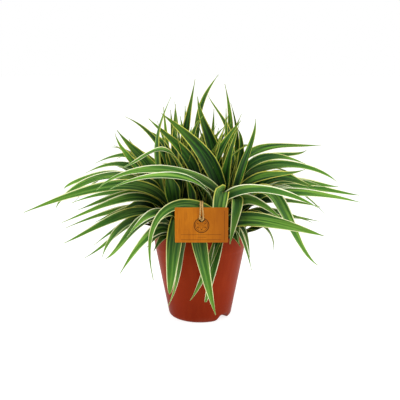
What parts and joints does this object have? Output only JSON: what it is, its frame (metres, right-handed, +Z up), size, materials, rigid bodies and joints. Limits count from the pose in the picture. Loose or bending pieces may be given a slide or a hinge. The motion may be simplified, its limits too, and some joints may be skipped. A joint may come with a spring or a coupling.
{
  "type": "potted spider plant",
  "caption": "Spider plant with arching green and cream strap leaves in a round tapered plastic pot filled with soil, with a wooden tag hung on twine.",
  "frame": {"origin": "on the floor at the centre of the pot's foot", "axes": "+Z up, -Y towards the front with the tag, +X to the right, along the plant's widest spread"},
  "size_m": [0.4293, 0.2947, 0.3103],
  "materials": {
    "pot_plastic": "satin moulded plastic, terracotta red",
    "soil": "loose moist potting mix",
    "tag_wood": "thin smooth orange-brown wood with fine grain",
    "twine": "two-ply natural jute",
    "leaf": "satin green leaf with cream margins"
  },
  "bodies": {
    "root": {"pot": "pot_plastic", "soil": "soil", "tag": "tag_wood", "twine_loop": "twine", "crown_front": "leaf", "crown_front_right": "leaf", "crown_front_left": "leaf", "crown_right": "leaf", "crown_left": "leaf", "crown_middle": "leaf", "crown_back_right": "leaf", "crown_back_left": "leaf"}
  },
  "joints": []
}
